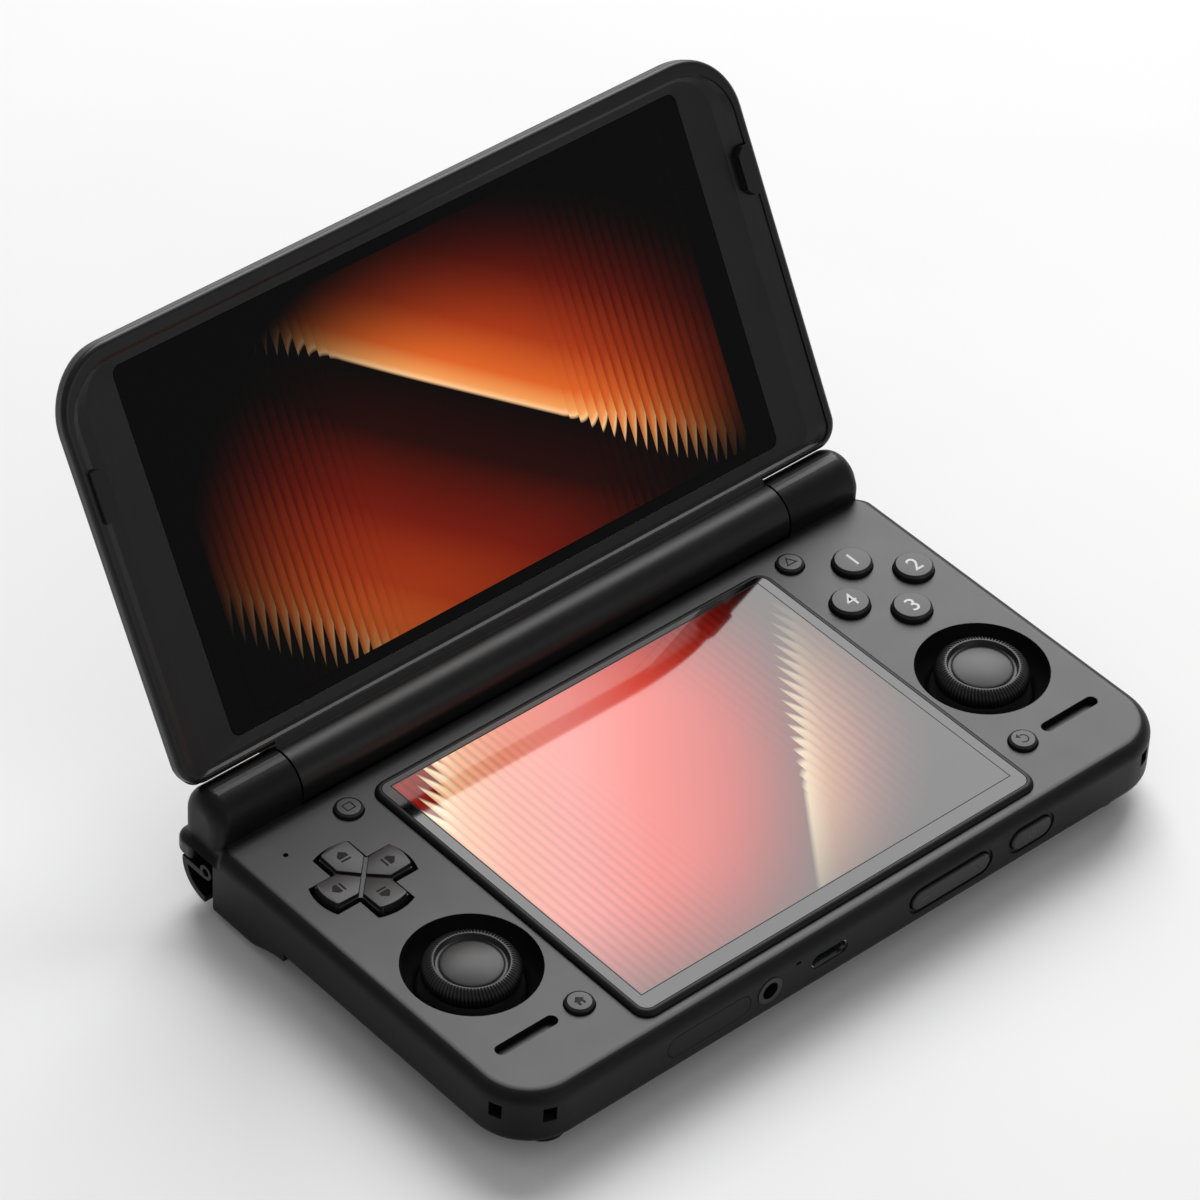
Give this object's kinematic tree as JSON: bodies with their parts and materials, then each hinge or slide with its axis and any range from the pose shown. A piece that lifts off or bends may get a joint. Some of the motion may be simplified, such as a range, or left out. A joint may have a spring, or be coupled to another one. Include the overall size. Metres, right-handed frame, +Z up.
{
  "type": "clamshell handheld game console",
  "caption": "Clamshell handheld game console, open: wide upper screen in a hinged lid, lower screen between thumbsticks, direction pad and round buttons.",
  "frame": {"origin": "on the standing plane, under the middle of the whole open object", "axes": "+Z up, +X to the player's right along the hinge, +Y from the front edge towards the hinge"},
  "size_m": [0.1626, 0.1386, 0.0981],
  "materials": {
    "deck_plastic": "fine spark-eroded matte",
    "case_plastic": "fine spark-eroded matte",
    "button_plastic": "satin",
    "cover_glass": "polished",
    "display_panel": "lit picture",
    "board_laminate": "solder mask",
    "battery_wrap": "film",
    "module_plastic": "plain",
    "steel": "plain",
    "soft_rubber": "matte",
    "silicone": "matte"
  },
  "bodies": {
    "base": {"deck_cover": "deck_plastic", "bottom_cover": "case_plastic", "screen_trim": "case_plastic", "lower_glass": "cover_glass", "lower_display": "display_panel", "main_board": "board_laminate", "battery": "battery_wrap", "speaker_left": "module_plastic", "speaker_right": "module_plastic", "usb_socket": "steel", "headphone_socket": "module_plastic", "card_reader": "steel", "hinge_cartridge_left": "steel", "hinge_cartridge_right": "steel", "feet": "soft_rubber", "case_screws": "steel", "direction_membrane": "silicone", "button_membrane": "silicone", "stick_module_left": "module_plastic", "stick_module_right": "module_plastic", "shoulder_pins": "steel"},
    "lid": {"lid_back_cover": "case_plastic", "lid_bezel": "deck_plastic", "upper_glass": "cover_glass", "upper_display": "display_panel", "closing_pads": "soft_rubber", "hinge_shaft_left": "steel", "hinge_shaft_right": "steel"},
    "card_door": {"card_door": "case_plastic"},
    "volume_rocker": {"volume_rocker": "button_plastic"},
    "power_button": {"power_button": "button_plastic"},
    "direction_pivot": {"direction_pivot": "steel"},
    "direction_pad": {"direction_pad": "button_plastic"},
    "button_one": {"button_one": "button_plastic"},
    "button_two": {"button_two": "button_plastic"},
    "button_three": {"button_three": "button_plastic"},
    "button_four": {"button_four": "button_plastic"},
    "select_button": {"select_button": "button_plastic"},
    "start_button": {"start_button": "button_plastic"},
    "home_button": {"home_button": "button_plastic"},
    "return_button": {"return_button": "button_plastic"},
    "stick_yoke_left": {"stick_yoke_left": "steel"},
    "stick_cradle_left": {"stick_cradle_left": "steel"},
    "stick_top_left": {"stick_post_left": "module_plastic", "stick_cap_left": "soft_rubber"},
    "bumper_left": {"bumper_left": "button_plastic"},
    "trigger_left": {"trigger_left": "button_plastic"},
    "stick_yoke_right": {"stick_yoke_right": "steel"},
    "stick_cradle_right": {"stick_cradle_right": "steel"},
    "stick_top_right": {"stick_post_right": "module_plastic", "stick_cap_right": "soft_rubber"},
    "bumper_right": {"bumper_right": "button_plastic"},
    "trigger_right": {"trigger_right": "button_plastic"}
  },
  "joints": [
    {"name": "lid_hinge", "type": "hinge", "parent": "base", "child": "lid", "pos_m": [0, 0.02242, 0.0191], "axis": [-1, 0, 0], "range_deg": [-118.8, 51.2]},
    {"name": "card_door_hinge", "type": "hinge", "parent": "base", "child": "card_door", "pos_m": [-0.0368, -0.06898, 0.00862], "axis": [1, 0, 0], "range_deg": [0, 95]},
    {"name": "volume_rock", "type": "hinge", "parent": "base", "child": "volume_rocker", "pos_m": [0.0227, -0.06693, 0.011], "axis": [0, 0, 1], "range_deg": [-1.2, 1.2], "stiffness_Nm_per_rad": 0.3},
    {"name": "power_press", "type": "slide", "parent": "base", "child": "power_button", "axis": [0, 1, 0], "range_m": [0, 0.0004], "stiffness_N_per_m": 1500},
    {"name": "pad_tilt_front", "type": "hinge", "parent": "base", "child": "direction_pivot", "pos_m": [-0.0644, -0.00558, 0.0117], "axis": [1, 0, 0], "range_deg": [-3.2, 3.2], "stiffness_Nm_per_rad": 0.04},
    {"name": "pad_tilt_side", "type": "hinge", "parent": "direction_pivot", "child": "direction_pad", "pos_m": [-0.0644, -0.00558, 0.0117], "axis": [0, 1, 0], "range_deg": [-3.2, 3.2], "stiffness_Nm_per_rad": 0.04},
    {"name": "button_one_press", "type": "slide", "parent": "base", "child": "button_one", "axis": [0, 0, -1], "range_m": [0, 0.0008], "stiffness_N_per_m": 400},
    {"name": "button_two_press", "type": "slide", "parent": "base", "child": "button_two", "axis": [0, 0, -1], "range_m": [0, 0.0008], "stiffness_N_per_m": 400},
    {"name": "button_three_press", "type": "slide", "parent": "base", "child": "button_three", "axis": [0, 0, -1], "range_m": [0, 0.0008], "stiffness_N_per_m": 400},
    {"name": "button_four_press", "type": "slide", "parent": "base", "child": "button_four", "axis": [0, 0, -1], "range_m": [0, 0.0008], "stiffness_N_per_m": 400},
    {"name": "select_button_press", "type": "slide", "parent": "base", "child": "select_button", "axis": [0, 0, -1], "range_m": [0, 0.0008], "stiffness_N_per_m": 400},
    {"name": "start_button_press", "type": "slide", "parent": "base", "child": "start_button", "axis": [0, 0, -1], "range_m": [0, 0.0008], "stiffness_N_per_m": 400},
    {"name": "home_button_press", "type": "slide", "parent": "base", "child": "home_button", "axis": [0, 0, -1], "range_m": [0, 0.0008], "stiffness_N_per_m": 400},
    {"name": "return_button_press", "type": "slide", "parent": "base", "child": "return_button", "axis": [0, 0, -1], "range_m": [0, 0.0008], "stiffness_N_per_m": 400},
    {"name": "stick_left_forward", "type": "hinge", "parent": "base", "child": "stick_yoke_left", "pos_m": [-0.0633, -0.03458, 0.0084], "axis": [1, 0, 0], "range_deg": [-12, 12], "stiffness_Nm_per_rad": 0.03},
    {"name": "stick_left_sideways", "type": "hinge", "parent": "stick_yoke_left", "child": "stick_cradle_left", "pos_m": [-0.0633, -0.03458, 0.0084], "axis": [0, 1, 0], "range_deg": [-12, 12], "stiffness_Nm_per_rad": 0.03},
    {"name": "stick_left_click", "type": "slide", "parent": "stick_cradle_left", "child": "stick_top_left", "axis": [0, 0, -1], "range_m": [0, 0.0004], "stiffness_N_per_m": 3000},
    {"name": "bumper_left_press", "type": "hinge", "parent": "base", "child": "bumper_left", "pos_m": [-0.0636, 0.02602, 0.0109], "axis": [0, 0, 1], "range_deg": [0, 3], "stiffness_Nm_per_rad": 0.2},
    {"name": "trigger_left_pull", "type": "hinge", "parent": "base", "child": "trigger_left", "pos_m": [-0.07125, 0.01982, 0.009], "axis": [-1, 0, 0], "range_deg": [0, 8], "stiffness_Nm_per_rad": 0.05},
    {"name": "stick_right_forward", "type": "hinge", "parent": "base", "child": "stick_yoke_right", "pos_m": [0.0633, -0.03458, 0.0084], "axis": [1, 0, 0], "range_deg": [-12, 12], "stiffness_Nm_per_rad": 0.03},
    {"name": "stick_right_sideways", "type": "hinge", "parent": "stick_yoke_right", "child": "stick_cradle_right", "pos_m": [0.0633, -0.03458, 0.0084], "axis": [0, 1, 0], "range_deg": [-12, 12], "stiffness_Nm_per_rad": 0.03},
    {"name": "stick_right_click", "type": "slide", "parent": "stick_cradle_right", "child": "stick_top_right", "axis": [0, 0, -1], "range_m": [0, 0.0004], "stiffness_N_per_m": 3000},
    {"name": "bumper_right_press", "type": "hinge", "parent": "base", "child": "bumper_right", "pos_m": [0.0636, 0.02602, 0.0109], "axis": [0, 0, -1], "range_deg": [0, 3], "stiffness_Nm_per_rad": 0.2},
    {"name": "trigger_right_pull", "type": "hinge", "parent": "base", "child": "trigger_right", "pos_m": [0.07125, 0.01982, 0.009], "axis": [-1, 0, 0], "range_deg": [0, 8], "stiffness_Nm_per_rad": 0.05}
  ]
}
